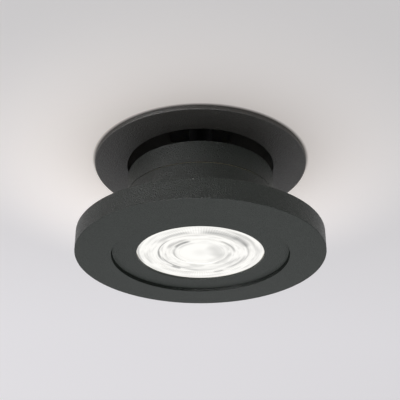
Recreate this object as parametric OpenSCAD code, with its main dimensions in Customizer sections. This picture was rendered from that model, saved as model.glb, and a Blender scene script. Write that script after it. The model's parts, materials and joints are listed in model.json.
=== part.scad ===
// Soffit downlight: a spot head with a wide face disc, hung on a hollow stem in a flat trim ring.
// The stem swivels about Z, the head tilts about X, and two spring clips hold the light in its cut-out.
// Origin: centre of the cut-out, on the soffit's underside. +Z runs up into the soffit.

/* [Face disc] */
// Diameter of the disc round the light
disc_d = 100.6; // [92:0.2:108]
// Thickness of the disc
disc_t = 8.5; // [8:0.5:10]
// Diameter of the shallow recess in the disc's face
recess_d = 71.7; // [70:0.1:76]
// Depth of that recess
recess_depth = 1.3; // [1.1:0.1:2]
// Diameter of the opening for the lens
aperture_d = 51.4; // [48:0.2:51.6]

/* [Head] */
// Diameter of the cylinder behind the disc
head_d = 60.9; // [59.5:0.1:61.2]
// Height of the cylinder's lower half, up to the seam
body_h = 18.2; // [18:0.1:20]
// Height of its upper half
cap_h = 9.7; // [9.5:0.1:11]
// Height of the open seam between the halves
seam_h = 0.2; // [0.15:0.05:0.4]

/* [Trim ring] */
// Diameter of the flange
ring_d = 89.2; // [86:0.2:94]
// Thickness of the flange
ring_t = 1.9; // [1.6:0.1:2.4]
// Diameter of the opening that the head hangs in
ring_hole_d = 61.6; // [61.4:0.1:62.4]
// Free height between the flange and the head's top
head_gap = 5.1; // [4.5:0.1:6]
// Diameter of the collar that locates in the cut-out
collar_d = 69; // [68.8:0.1:69.4]
// Height of the collar
collar_h = 5; // [4.5:0.5:6]

/* [Recess sleeve] */
// Outer diameter of the can above the flange
sleeve_d = 66.8; // [66.6:0.1:67]
// Wall of the can
sleeve_wall = 1.2; // [1:0.1:1.4]
// Height of the can above the soffit's underside
sleeve_h = 62; // [62:1:70]

/* [Swivel and tilt] */
// Diameter of the hollow stem
stem_d = 10; // [9.6:0.1:10.2]
// Bore of the stem, for the lead
stem_bore = 4.8; // [4:0.1:5]
// Depth of the tilt axis below the head's top
pivot_drop = 10; // [10:0.1:10.4]
// Most that the head tilts either way
tilt_max = 30; // [20:1:30]
// Height of the strap that the stem hangs from
bridge_z = 30; // [30:0.5:31]
// Diameter of the low-voltage lead
lead_d = 2.4; // [2:0.1:2.4]

/* [Spring clips] */
// Length of a clip from its pin to its foot
clip_l = 30; // [26:1:30]
// Width of a clip
clip_w = 8.4; // [8.4:0.1:8.6]
// Droop of a clip that rests on its stop, in degrees
clip_droop = 20; // [16:1:22]
// Wire of the torsion spring
wire_d = 0.8; // [0.7:0.05:0.85]
// Middle radius of its coil
coil_r = 2.4; // [2.3:0.05:2.45]
// Rise of the coil in one turn
coil_pitch = 1.3; // [1.28:0.01:1.36]
// Whole turns of the coil
coil_turns = 4; // [3:1:4]

/* [Cable gland] */
// Bore of the gland's seal, for the supply cable
cable_d = 8; // [7:0.5:8]
// Size of the gland's hexagons across their flats
gland_af = 20; // [19:0.5:20]

/* [Hidden] */
$fn = 96;
over = 1; // how far a cutting shape runs past the face it cuts

// Heights of the stack below the soffit, from the flange down to the disc's face
head_top = -ring_t - head_gap;
seam_z = head_top - cap_h;
disc_back = seam_z - body_h;
disc_face = disc_back - disc_t;

// Radii
disc_r = disc_d / 2;
recess_r = recess_d / 2;
aperture_r = aperture_d / 2;
head_r = head_d / 2;
ring_r = ring_d / 2;
hole_r = ring_hole_d / 2;
collar_r = collar_d / 2;
sleeve_r = sleeve_d / 2;
sleeve_in = sleeve_r - sleeve_wall;
stem_r = stem_d / 2;
lead_r = lead_d / 2;
edge = 0.3; // softened edges of the coated castings

// Fits
run_gap = 0.05; // a shaft turning in its bore, and faces that slide on each other
m3_r = 1.5;
m25_r = 1.25;
m3_head_r = 2.9;
m3_cone_h = 1.4;

// Trim ring: seat for the sleeve, groove for the gasket
seat_h = 0.8;
groove_t = 0.9;
groove_r0 = 37;
groove_r1 = 42;
sleeve_screw_z = 3;
sleeve_screw_head_r = 2;
sleeve_screw_angles = [30, 150, 270];

// Swivel: strap, bush, collar, washer and nut, from the collar up
bridge_t = 1.5;
bridge_w = 28;
bridge_tab_h = 10;
bridge_tab_w = 18;
bridge_screw_z = bridge_z + 6;
bridge_screw_x = 5;
bush_r = 6.5;
bush_flange_r = 9;
bush_flange_t = 1.5;
bush_top = bridge_z + bridge_t + 0.5;
stem_collar_r = 8;
stem_collar_t = 2;
stem_collar_top = bridge_z - bush_flange_t - run_gap;
washer_z = bush_top + run_gap;
washer_t = 1;
nut_z = washer_z + washer_t;
nut_t = 4;
nut_af = 15;
stem_top = 40;
stop_pin_r = 0.8;
stop_pin_reach = 13;
stop_z = stem_collar_top - stem_collar_t / 2;
tongue_w = 1.8;
tongue_y = [11.5, 13.5];
tongue_drop = 4.5;

// Head: floor that carries the LED below and the tilt bracket above
floor_top = disc_back + 11.4;
floor_t = 3;
floor_under = floor_top - floor_t;
body_bore_r = 24;
cap_bore_r = 27.5;
cap_plate_t = 2;
post_r = 3.2;
post_at = 23;
post_angles = [0, 120, 240];
cap_screw_l = 9;
disc_screw_at = 28.2;
disc_screw_angles = [90, 210, 330];
disc_screw_l = 8.4;
gasket_r0 = 27.8;
gasket_r1 = head_r - 0.3;

// Face: the pocket in the disc holds the bezel, the lens and the lens's holder
web_t = 2.5;
web_hole_r = 24.3;
web_face = disc_back - web_t;
bezel_face = disc_face + recess_depth;
bezel_t = 1.2;
bezel_r = recess_r - 0.25;
bezel_skirt_t = 1.8;
bezel_skirt_h = 2.9;
lens_gasket_t = 0.6;
lens_flange_r = 27.2;
lens_flange_t = 1.4;
lens_face = bezel_face + 1;
lens_face_r = aperture_r - 0.2;
lens_flange_z = bezel_face + bezel_t + lens_gasket_t;
holder_z = lens_flange_z + lens_flange_t;
holder_r = 23.6;
holder_wall = 1;
lens_cone_r = holder_r - holder_wall - 0.2;

// LED
pad_t = 0.5;
pad_r = 16;
board_t = 1.6;
board_r = 21.5;
board_back = floor_under - pad_t;
board_front = board_back - board_t;
board_screw_x = 18.5;
chip_w = 13.5;
chip_t = 0.9;
chip_glow_r = 5;
chip_glow_t = 0.3;
lens_back = board_front - chip_t - chip_glow_t - 0.4;
lens_hollow = 3; // depth of the hollow over the LED

// Tilt joint: forked stem end between the ears of the bracket
pivot_z = head_top - pivot_drop;
fork_r = 5;
fork_w = 12;
fork_slot_w = 3.2;
fork_slot_h = 6;
ear_x = 6.8;
ear_t = 2;
ear_w = 10;
bracket_t = 1.2;
bracket_l = 21.2;
bracket_screw_at = [6, 8];
pivot_screw_r = 2;
pivot_tip_x = 3.4;
pivot_head_r = 3.4;
pivot_head_t = 2;
pivot_washer_r = 4.5;
slot_w = stem_d + 1.2;
slot_reach = pivot_drop * tan(tilt_max) + stem_r / cos(tilt_max) + 0.6;

// Route of the lead inside the head
lead_bend = 3.6; // one and a half times the limp lead's diameter
lead_hole_y = 18.8;
grommet_y = lead_hole_y - 1;
grommet_r = 3.4;
grommet_bore_r = 2.3;
grommet_flange_r = 4.6;
grommet_flange_t = 0.8;
lead_tip = 0.8; // past the front of the LED board

// Spring clip, at the right: pin at [pin_x, pin_z], arm along +X with a droop
pin_x = 29;
pin_z = 24;
pin_r = 1.25;
pin_head_r = 1.6;
pin_head_t = 0.8;
clip_t = 0.8;
clip_web_v = -coil_r - wire_d / 2; // top of the arm's web, where the spring's leg lies
clip_web_u = coil_r + wire_d / 2 + 0.4;
cheek_t = 0.8;
cheek_r = 3;
cheek_u = 9;
foot_r = 3;
foot_angle = 60;
pad_wall = 1.2;
pad_w = clip_w + 0.6;
clip_slot_w = 12;
clip_slot_top = 59.5;
// The arm rests on the lower end of its slot, at the sleeve's outer face
clip_slot_z = pin_z - (sleeve_r - pin_x) * tan(clip_droop)
    - (clip_t - clip_web_v) / cos(clip_droop) - run_gap;
bracket_ear_y = 4.7;
bracket_ear_t = 0.8;
bracket_back_x = 24.4;
bracket_z = [19, 29];
bracket_plate_z = [18, 31.5];
bracket_tab_y = 12;
rivet_y = 9;
rivet_r = 1.2;
rivet_head_r = 2.1;
rivet_head_t = 0.8;
rivet_angle = asin(rivet_y / sleeve_in);

// Torsion spring: legs tangent to the coil at its first and last angle
coil_leg_angle = 188;
coil_end_angle = 270 - clip_droop + 360 * coil_turns;
arm_leg_l = 11;
back_leg_l = 7;
coil_rings = 8; // rings in a turn
wire_sides = 6;

// Cover and what hangs from it
cover_t = 1.2;
cover_skirt_h = 3.2;
cover_screw_z = sleeve_h - 1.6;
driver_size = [32, 17, 16];
driver_y = -26;
terminal_size = [16, 16, 10];
terminal_at = [-20, 6];
terminal_poles = 3;
wire_lead_r = 0.8;
wire_lead_z = sleeve_h - 6;
upper_bend = 5;
upper_rise = 4;

// Cable gland
gland_at = [9, 14];
gland_z = sleeve_h + cover_t;
gland_thread_r = 8;
gland_body_h = 5;
gland_neck_h = 6.8;
gland_shank_h = 6.7;
gland_seal_r = 6;
gland_seal_h = 8;
gland_seal_z = gland_z + gland_body_h + 0.8;
gland_nut_z = gland_z + gland_body_h + 0.4;
gland_nut_h = 11.4;
gland_mouth_r = cable_d / 2 + 0.6;
locknut_h = 3.5;

// Colours
coat = "#3a3b3a";
black = "#1b1b1c";
zinc = "#b9bcbf";
steel = "#8f9296";
rubber = "#242424";
cream = "#d8d2c0";
silicone = "#6d5f4a";

// ---- Shared shapes ----

// A ring with square edges, from radius r0 to r1 and height z0 to z1
module ring(r0, r1, z0, z1) {
    rotate_extrude()
        translate([r0, z0])
            square([r1 - r0, z1 - z0]);
}

// A rectangle whose corners are rounded by the radius e
module soft_rect(x0, x1, y0, y1, e) {
    translate([x0 + e, y0])
        square([x1 - x0 - 2 * e, y1 - y0]);
    translate([x0, y0 + e])
        square([x1 - x0, y1 - y0 - 2 * e]);
    for (x = [x0 + e, x1 - e], y = [y0 + e, y1 - e])
        translate([x, y])
            circle(e, $fn = 32);
}

// A disc with softened edges, of radius r, from height z0 to z1
module soft_disc(r, z0, z1, e) {
    rotate_extrude()
        union() {
            soft_rect(r / 2, r, z0, z1, e);
            translate([0, z0])
                square([r / 2 + e, z1 - z0]);
        }
}

// A hexagonal bar, across flats af
module hex_bar(af, h) {
    cylinder(r = af / 2 / cos(30), h = h, $fn = 6);
}

// Places its children on a radius in the XY plane, once for each angle
module around(radius, angles) {
    for (a = angles)
        rotate([0, 0, a])
            translate([radius, 0, 0])
                children();
}

// A rod along the radius at height z, from r0 to r1, in the direction of angle a
module radial_rod(a, z, r, r0, r1) {
    rotate([0, 0, a])
        translate([r0, 0, z])
            rotate([0, 90, 0])
                cylinder(r = r, h = r1 - r0, $fn = 32);
}

// A rod along X, from x0 to x1, at [y, z]
module cross_rod(x0, x1, y, z, r) {
    translate([x0, y, z])
        rotate([0, 90, 0])
            cylinder(r = r, h = x1 - x0);
}

// A countersunk screw, head at z = 0 and shank up to length l, with a hexagon socket
module countersunk_screw(l) {
    difference() {
        union() {
            cylinder(r1 = m3_head_r, r2 = m3_r, h = m3_cone_h);
            translate([0, 0, m3_cone_h])
                cylinder(r = m3_r, h = l - m3_cone_h);
        }
        translate([0, 0, -over])
            hex_bar(2, over + 0.9);
    }
}

// The hole that a countersunk screw fills
module countersink(l) {
    cylinder(r1 = m3_head_r, r2 = m3_r, h = m3_cone_h);
    cylinder(r = m3_r, h = l);
    translate([0, 0, -over])
        cylinder(r = m3_head_r, h = over);
}

// A pan-head screw, head from z = -head_h to 0 and shank up to length l, with a cross recess
module pan_screw(r, head_r, head_h, l) {
    recess = [head_r * 1.1, 0.5, head_h * 0.6];
    difference() {
        union() {
            translate([0, 0, -head_h])
                cylinder(r = head_r, h = head_h, $fn = 48);
            cylinder(r = r, h = l, $fn = 32);
        }
        for (turn = [0, 90])
            rotate([0, 0, turn])
                translate([-recess[0] / 2, -recess[1] / 2, -head_h - 0.01])
                    cube(recess);
    }
}

// A round bar bent through a quarter turn in the YZ plane, about the point [0, y, z]:
// it starts at angle from, measured from +Y towards +Z
module quarter_bend(y, z, bend, from, r) {
    translate([0, y, z])
        rotate([90, 0, 90])
            rotate([0, 0, from])
                rotate_extrude(angle = 90)
                    translate([bend, 0])
                        circle(r, $fn = 32);
}

// ---- Fixed in the soffit ----

module trim_ring() {
    color(coat)
        difference() {
            rotate_extrude()
                difference() {
                    union() {
                        soft_rect(hole_r, ring_r, -ring_t, 0, edge);
                        translate([hole_r, -ring_t / 2])
                            square([collar_r - hole_r, ring_t / 2 + seat_h]);
                        translate([sleeve_r, -ring_t / 2])
                            square([collar_r - sleeve_r, ring_t / 2 + collar_h]);
                    }
                    translate([groove_r0, -groove_t])
                        square([groove_r1 - groove_r0, groove_t + over]);
                }
            for (a = sleeve_screw_angles)
                radial_rod(a, sleeve_screw_z, m25_r, sleeve_r - over, collar_r - 0.2);
        }
}

module flange_gasket() {
    color(rubber)
        ring(groove_r0, groove_r1, -groove_t, 0);
}

module recess_sleeve() {
    color(black)
        difference() {
            ring(sleeve_in, sleeve_r, seat_h, sleeve_h);
            for (side = [-1, 1])
                translate([side * sleeve_r - 8, -clip_slot_w / 2, clip_slot_z])
                    cube([16, clip_slot_w, clip_slot_top - clip_slot_z]);
            for (a = sleeve_screw_angles) {
                radial_rod(a, sleeve_screw_z, m25_r, sleeve_in - over, sleeve_r + over);
                radial_rod(a, cover_screw_z, m25_r, sleeve_in - over, sleeve_r + over);
            }
            for (a = rivet_angles())
                radial_rod(a, pin_z, rivet_r, sleeve_in - over, sleeve_r + over);
            for (a = bridge_screw_angles())
                radial_rod(a, bridge_screw_z, m3_r, sleeve_in - over, sleeve_r + over);
        }
}

function rivet_angles() = [for (side = [0, 180], turn = [-1, 1]) side + turn * rivet_angle];
function bridge_screw_angles() =
    [for (side = [90, 270], turn = [-1, 1]) side + turn * asin(bridge_screw_x / sleeve_in)];

// Where a flat head of radius head_r sits inside a round wall of radius wall_r
function seat_inside(wall_r, head_r) = sqrt(wall_r * wall_r - head_r * head_r);

// Screws that go out from inside the sleeve into the collar
module sleeve_screws() {
    seat = seat_inside(sleeve_in, sleeve_screw_head_r);
    color(zinc)
        for (a = sleeve_screw_angles)
            rotate([0, 0, a])
                translate([seat, 0, sleeve_screw_z])
                    rotate([0, 90, 0])
                        pan_screw(m25_r, sleeve_screw_head_r, 1.1, collar_r - 0.3 - seat);
}

// A screw that goes in from outside the sleeve, at angle a and height z
module sleeve_fastener(a, z, r, head_r, head_h, l) {
    rotate([0, 0, a])
        translate([sleeve_r, 0, z])
            rotate([0, -90, 0])
                pan_screw(r, head_r, head_h, l);
}

module swivel_bridge() {
    color(zinc)
        difference() {
            union() {
                intersection() {
                    translate([-bridge_w / 2, -sleeve_in, bridge_z])
                        cube([bridge_w, 2 * sleeve_in, bridge_t]);
                    cylinder(r = sleeve_in, h = 2 * bridge_z);
                }
                intersection() {
                    ring(sleeve_in - bridge_t, sleeve_in, bridge_z, bridge_z + bridge_tab_h);
                    translate([-bridge_tab_w / 2, -sleeve_in, bridge_z])
                        cube([bridge_tab_w, 2 * sleeve_in, bridge_tab_h]);
                }
                translate([-tongue_w / 2, tongue_y[0], bridge_z - tongue_drop])
                    cube([tongue_w, tongue_y[1] - tongue_y[0], tongue_drop + bridge_t / 2]);
            }
            translate([0, 0, bridge_z - over])
                cylinder(r = bush_r, h = bridge_t + 2 * over);
            for (a = bridge_screw_angles())
                radial_rod(a, bridge_screw_z, m3_r, sleeve_in - 5, sleeve_in + over);
        }
}

module bridge_screws() {
    color(zinc)
        for (a = bridge_screw_angles())
            sleeve_fastener(a, bridge_screw_z, m3_r, 2.6, 1, sleeve_wall + bridge_t + 1);
}

module swivel_bush() {
    color(cream)
        difference() {
            union() {
                translate([0, 0, bridge_z - bush_flange_t])
                    cylinder(r = bush_flange_r, h = bush_flange_t);
                translate([0, 0, bridge_z])
                    cylinder(r = bush_r, h = bush_top - bridge_z);
            }
            translate([0, 0, bridge_z - bush_flange_t - over])
                cylinder(r = stem_r + run_gap, h = bush_top - bridge_z + bush_flange_t + 2 * over);
        }
}

module can_cover() {
    color(black)
        difference() {
            union() {
                soft_disc(sleeve_r, sleeve_h, sleeve_h + cover_t, edge);
                ring(sleeve_in - 1, sleeve_in, sleeve_h - cover_skirt_h, sleeve_h + cover_t / 2);
            }
            translate([gland_at[0], gland_at[1], sleeve_h - over])
                cylinder(r = gland_thread_r, h = cover_t + 2 * over);
            for (a = sleeve_screw_angles)
                radial_rod(a, cover_screw_z, m25_r, sleeve_in - 3, sleeve_in + over);
        }
}

module cover_screws() {
    color(zinc)
        for (a = sleeve_screw_angles)
            sleeve_fastener(a, cover_screw_z, m25_r, 2.2, 0.9, sleeve_wall + 1.4);
}

module led_driver() {
    rib = 1.2;
    lid = 3;
    color("#e3e3df")
        translate([-driver_size[0] / 2, driver_y, sleeve_h - driver_size[2]])
            union() {
                cube(driver_size);
                translate([-rib, 3, driver_size[2] - lid])
                    cube([driver_size[0] + 2 * rib, driver_size[1] - 6, lid]);
            }
}

module terminal_block() {
    step = terminal_size[0] / terminal_poles;
    color("#e9e7df")
        translate([terminal_at[0], terminal_at[1], sleeve_h - terminal_size[2]])
            difference() {
                cube(terminal_size);
                for (i = [0:terminal_poles - 1]) {
                    translate([step * (i + 0.5), terminal_size[1] - 6, 4])
                        rotate([-90, 0, 0])
                            cylinder(r = 1.6, h = 6 + over);
                    translate([step * (i + 0.5), terminal_size[1] - 4, -over])
                        cylinder(r = 1.4, h = 3 + over);
                }
                for (i = [1:terminal_poles - 1])
                    translate([step * i - 0.4, -over, -over])
                        cube([0.8, terminal_size[1] + 2 * over, 2.5 + over]);
            }
}

// Two wires from the terminal block to the driver
module driver_leads() {
    y0 = driver_y + driver_size[1];
    step = terminal_size[0] / terminal_poles;
    for (i = [0, 1])
        color(i == 0 ? "#2f5f9e" : "#6b4630")
            translate([terminal_at[0] + step * (i + 1.5), y0, wire_lead_z])
                rotate([-90, 0, 0])
                    cylinder(r = wire_lead_r, h = terminal_at[1] - y0, $fn = 32);
}

// Low-voltage lead, from the stem's top to the driver
module lead_upper() {
    y0 = driver_y + driver_size[1];
    color(black)
        union() {
            translate([0, 0, stem_top])
                cylinder(r = lead_r, h = upper_rise, $fn = 32);
            quarter_bend(-upper_bend, stem_top + upper_rise, upper_bend, 0, lead_r);
            translate([0, y0, stem_top + upper_rise + upper_bend])
                rotate([-90, 0, 0])
                    cylinder(r = lead_r, h = -upper_bend - y0, $fn = 32);
        }
}

// ---- Cable gland ----

module at_gland(z) {
    translate([gland_at[0], gland_at[1], z])
        children();
}

module gland_body() {
    color(black)
        difference() {
            union() {
                at_gland(gland_z)
                    hex_bar(gland_af, gland_body_h);
                at_gland(gland_z - gland_shank_h)
                    cylinder(r = gland_thread_r, h = gland_shank_h + gland_body_h + gland_neck_h);
            }
            at_gland(gland_z - gland_shank_h - over)
                cylinder(r = gland_mouth_r, h = 2 * gland_shank_h + gland_body_h);
            at_gland(gland_seal_z)
                cylinder(r = gland_seal_r, h = gland_seal_h);
        }
}

module gland_locknut() {
    color(black)
        difference() {
            at_gland(sleeve_h - locknut_h)
                hex_bar(gland_af, locknut_h);
            at_gland(sleeve_h - locknut_h - over)
                cylinder(r = gland_thread_r, h = locknut_h + 2 * over);
        }
}

module gland_seal() {
    color(rubber)
        difference() {
            at_gland(gland_seal_z)
                cylinder(r = gland_seal_r, h = gland_seal_h);
            at_gland(gland_seal_z - over)
                cylinder(r = cable_d / 2, h = gland_seal_h + 2 * over);
        }
}

module gland_nut() {
    neck_top = gland_z + gland_body_h + gland_neck_h;
    seal_top = gland_seal_z + gland_seal_h;
    color(black)
        difference() {
            intersection() {
                at_gland(gland_nut_z)
                    hex_bar(gland_af, gland_nut_h);
                at_gland(gland_nut_z)
                    rotate_extrude()
                        union() {
                            square([gland_af, gland_nut_h - 4]);
                            square([gland_af / 2 - 3.4, gland_nut_h]);
                            translate([gland_af / 2 - 3.4, gland_nut_h - 4])
                                circle(4, $fn = 48);
                        }
            }
            at_gland(gland_nut_z - over)
                cylinder(r = gland_thread_r, h = neck_top - gland_nut_z + over);
            at_gland(neck_top - over)
                cylinder(r = gland_seal_r, h = seal_top - neck_top + over);
            at_gland(seal_top - over)
                cylinder(r = gland_mouth_r, h = 10);
        }
}

// ---- Spring clips: drawn at the right, mirrored to the left ----

// Local frame of the clip: u along the arm, v square to it, y along the pin
module clip_frame() {
    translate([pin_x, 0, pin_z])
        rotate([0, clip_droop, 0])
            children();
}

// A flat shape in u and v, made w wide along the pin
module across_pin(w) {
    rotate([90, 0, 0])
        linear_extrude(w, center = true)
            children();
}

// Part of a flat ring round the foot's centre, between two angles no more than 180 degrees apart
module foot_arc(r0, r1, from, to) {
    far = 3 * r1;
    middle = (from + to) / 2;
    translate([clip_l, clip_web_v - clip_t + foot_r])
        intersection() {
            difference() {
                circle(r1, $fn = 64);
                circle(r0, $fn = 64);
            }
            polygon([
                [0, 0],
                far * [cos(from), sin(from)],
                far * [cos(middle), sin(middle)],
                far * [cos(to), sin(to)]
            ]);
        }
}

module spring_clip() {
    color(zinc)
        clip_frame()
            difference() {
                union() {
                    across_pin(clip_w)
                        union() {
                            translate([clip_web_u, clip_web_v - clip_t])
                                square([clip_l - clip_web_u, clip_t]);
                            foot_arc(foot_r - clip_t, foot_r, -90, foot_angle);
                        }
                    for (side = [-1, 1])
                        translate([0, side * (clip_w - cheek_t) / 2, 0])
                            across_pin(cheek_t)
                                union() {
                                    circle(cheek_r);
                                    polygon([
                                        [0, clip_web_v - clip_t],
                                        [cheek_u, clip_web_v - clip_t],
                                        [cheek_u, clip_web_v + 0.4],
                                        [0, cheek_r]
                                    ]);
                                }
                }
                translate([0, clip_w, 0])
                    rotate([90, 0, 0])
                        cylinder(r = pin_r + run_gap, h = 2 * clip_w);
            }
}

module clip_pad() {
    inner = foot_r - clip_t;
    color(rubber)
        clip_frame()
            across_pin(pad_w)
                difference() {
                    foot_arc(inner - 1, foot_r + pad_wall, -80, foot_angle + 10);
                    foot_arc(inner, foot_r, -90, foot_angle);
                }
}

module clip_bracket() {
    ear_l = sleeve_r - bracket_back_x;
    color(zinc)
        difference() {
            intersection() {
                cylinder(r = sleeve_in, h = 2 * bracket_plate_z[1]);
                union() {
                    translate([bracket_back_x, -bracket_ear_y - bracket_ear_t, bracket_plate_z[0]])
                        cube([
                            bracket_ear_t,
                            2 * (bracket_ear_y + bracket_ear_t),
                            bracket_plate_z[1] - bracket_plate_z[0]
                        ]);
                    for (y = [-bracket_ear_y - bracket_ear_t, bracket_ear_y])
                        translate([bracket_back_x, y, bracket_z[0]])
                            cube([ear_l, bracket_ear_t, bracket_z[1] - bracket_z[0]]);
                    intersection() {
                        ring(sleeve_in - bracket_ear_t, sleeve_in, bracket_z[0] + 1, bracket_z[1] - 1);
                        for (y = [-bracket_tab_y, bracket_ear_y])
                            translate([pin_x - over, y, bracket_z[0]])
                                cube([ear_l, bracket_tab_y - bracket_ear_y, bracket_z[1] - bracket_z[0]]);
                    }
                }
            }
            translate([pin_x, clip_w, pin_z])
                rotate([90, 0, 0])
                    cylinder(r = pin_r, h = 2 * clip_w);
            for (turn = [-1, 1])
                radial_rod(turn * rivet_angle, pin_z, rivet_r, sleeve_in - 3, sleeve_in + over);
        }
}

module clip_pin() {
    reach = bracket_ear_y + bracket_ear_t;
    color(steel)
        translate([pin_x, 0, pin_z])
            rotate([90, 0, 0])
                union() {
                    cylinder(r = pin_r, h = 2 * reach, center = true);
                    for (side = [0, 1])
                        mirror([0, 0, side])
                            translate([0, 0, reach])
                                cylinder(r = pin_head_r, h = pin_head_t);
                }
}

module clip_rivets() {
    seat = seat_inside(sleeve_in - bracket_ear_t, rivet_head_r);
    color(steel)
        for (a = rivet_angles())
            rotate([0, 0, a])
                translate([0, 0, pin_z])
                    rotate([0, 90, 0])
                        union() {
                            translate([0, 0, seat - rivet_head_t])
                                cylinder(r = rivet_head_r, h = rivet_head_t, $fn = 48);
                            translate([0, 0, seat])
                                cylinder(r = rivet_r, h = sleeve_r - seat, $fn = 32);
                            translate([0, 0, sleeve_r])
                                cylinder(r = rivet_head_r, h = rivet_head_t, $fn = 48);
                        }
}

// Middle line of the torsion spring in the XZ plane, wound along Y: [x, y, z] at angle a
function coil_point(a) = [
    pin_x + coil_r * cos(a),
    coil_pitch * ((a - coil_leg_angle) / 360 - (coil_end_angle - coil_leg_angle) / 720),
    pin_z + coil_r * sin(a)
];
function coil_tangent(a) = [-sin(a), 0, cos(a)];

coil_span = coil_end_angle - coil_leg_angle;
coil_steps = round(coil_span / 360 * coil_rings);
coil_angles = [for (i = [0:coil_steps]) coil_leg_angle + coil_span * i / coil_steps];

// Each ring of the tube is [centre, angle of its outward side]
spring_rings = concat(
    [[coil_point(coil_leg_angle) - back_leg_l * coil_tangent(coil_leg_angle), coil_leg_angle]],
    [for (a = coil_angles) [coil_point(a), a]],
    [[coil_point(coil_end_angle) + arm_leg_l * coil_tangent(coil_end_angle), coil_end_angle]]
);

// Least gap of the wire to itself, measured between points of its middle line more than half a turn apart
back_leg_start = coil_point(coil_leg_angle);
arm_leg_start = coil_point(coil_end_angle);
spring_line = concat(
    [for (s = [back_leg_l:-0.5:0.5]) back_leg_start - s * coil_tangent(coil_leg_angle)],
    [for (a = [coil_leg_angle:10:coil_end_angle]) coil_point(a)],
    [for (s = [0.5:0.5:arm_leg_l]) arm_leg_start + s * coil_tangent(coil_end_angle)]
);
spring_gap = min([
    for (i = [0:len(spring_line) - 21], j = [i + 20:len(spring_line) - 1])
        norm(spring_line[i] - spring_line[j]) - wire_d
]);
echo(str("least gap between the spring's turns: ", spring_gap, " mm"));

function wire_ring(centre, a) = [
    for (k = [0:wire_sides - 1])
        let (t = 360 * k / wire_sides)
            centre + wire_d / 2 * (cos(t) * [cos(a), 0, sin(a)] + sin(t) * [0, 1, 0])
];

module torsion_spring() {
    count = len(spring_rings);
    points = [for (r = spring_rings) each wire_ring(r[0], r[1])];
    sides = [
        for (i = [0:count - 2], k = [0:wire_sides - 1])
            let (
                a = i * wire_sides + k,
                b = i * wire_sides + (k + 1) % wire_sides,
                c = a + wire_sides,
                d = b + wire_sides
            )
                each [[a, d, b], [a, c, d]]
    ];
    first = [for (k = [1:wire_sides - 2]) [0, k, k + 1]];
    last_at = (count - 1) * wire_sides;
    last = [for (k = [1:wire_sides - 2]) [last_at, last_at + k + 1, last_at + k]];
    color(steel)
        polyhedron(points, concat(sides, first, last));
}

// ---- Swivelling stem ----

module swivel_stem() {
    color(black)
        difference() {
            union() {
                translate([0, 0, pivot_z])
                    cylinder(r = stem_r, h = stem_top - pivot_z);
                translate([0, 0, stem_collar_top - stem_collar_t])
                    cylinder(r = stem_collar_r, h = stem_collar_t);
                cross_rod(-fork_w / 2, fork_w / 2, 0, pivot_z, fork_r);
            }
            translate([0, 0, pivot_z])
                cylinder(r = stem_bore / 2, h = stem_top - pivot_z + over);
            translate([-fork_slot_w / 2, -fork_r - over, pivot_z - fork_r - over])
                cube([fork_slot_w, 2 * (fork_r + over), fork_r + over + fork_slot_h]);
            cross_rod(-fork_w, fork_w, 0, pivot_z, pivot_screw_r + run_gap);
            stop_pin_rod();
        }
}

module stop_pin_rod() {
    radial_rod(270, stop_z, stop_pin_r, stem_r + 1, stop_pin_reach);
}

module stop_pin() {
    color(steel)
        stop_pin_rod();
}

module swivel_washer() {
    color(steel)
        ring(stem_r, bush_flange_r, washer_z, washer_z + washer_t);
}

module swivel_nut() {
    color(zinc)
        difference() {
            translate([0, 0, nut_z])
                hex_bar(nut_af, nut_t);
            translate([0, 0, nut_z - over])
                cylinder(r = stem_r, h = nut_t + 2 * over);
        }
}

module lead_in_stem() {
    color(black)
        translate([0, 0, pivot_z])
            cylinder(r = lead_r, h = stem_top - pivot_z, $fn = 32);
}

// ---- Tilting head ----

module face_disc() {
    color(coat)
        difference() {
            rotate_extrude()
                difference() {
                    soft_rect(web_hole_r, disc_r, disc_face, disc_back, edge);
                    translate([0, disc_face - over])
                        square([recess_r, web_face - disc_face + over]);
                }
            around(disc_screw_at, disc_screw_angles)
                translate([0, 0, web_face])
                    countersink(web_t + over);
        }
}

module disc_screws() {
    color(steel)
        around(disc_screw_at, disc_screw_angles)
            translate([0, 0, web_face])
                countersunk_screw(disc_screw_l);
}

module front_bezel() {
    skirt_top = bezel_face + bezel_t + bezel_skirt_h;
    color(coat)
        rotate_extrude()
            union() {
                soft_rect(aperture_r, bezel_r, bezel_face, bezel_face + bezel_t, edge / 2);
                translate([bezel_r - bezel_skirt_t, bezel_face + bezel_t / 2])
                    square([bezel_skirt_t, skirt_top - bezel_face - bezel_t / 2]);
            }
}

// Steps in the lens's face: [share of its radius, how far the face lies back from there inwards]
lens_steps = [[1, 0], [0.85, 0.25], [0.72, 0.05], [0.66, 0.35], [0.5, 0.1], [0.43, 0.35], [0.34, 0]];

module lens() {
    face = [
        for (i = [0:len(lens_steps) - 1])
            let (
                r = lens_face_r * lens_steps[i][0],
                next = i + 1 < len(lens_steps) ? lens_face_r * lens_steps[i + 1][0] : 0,
                z = lens_face + lens_steps[i][1]
            )
                each [[r, z], [next, z]]
    ];
    back = [
        [0, lens_back - lens_hollow],
        [chip_glow_r + 0.4, lens_back - lens_hollow],
        [chip_glow_r + 0.8, lens_back],
        [chip_glow_r + 2.2, lens_back],
        [lens_cone_r, holder_z],
        [lens_flange_r, holder_z],
        [lens_flange_r, lens_flange_z],
        [lens_face_r, lens_flange_z]
    ];
    color("#eef2f4", 0.5)
        rotate_extrude()
            polygon(concat(face, back));
}

module lens_gasket() {
    color(silicone)
        ring(aperture_r + 0.2, lens_flange_r, lens_flange_z - lens_gasket_t, lens_flange_z);
}

module lens_holder() {
    color(black)
        rotate_extrude()
            union() {
                translate([holder_r - holder_wall, holder_z])
                    square([lens_flange_r - holder_r + holder_wall, web_face - holder_z]);
                translate([holder_r - holder_wall, holder_z])
                    square([holder_wall, board_front - holder_z]);
            }
}

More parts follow.
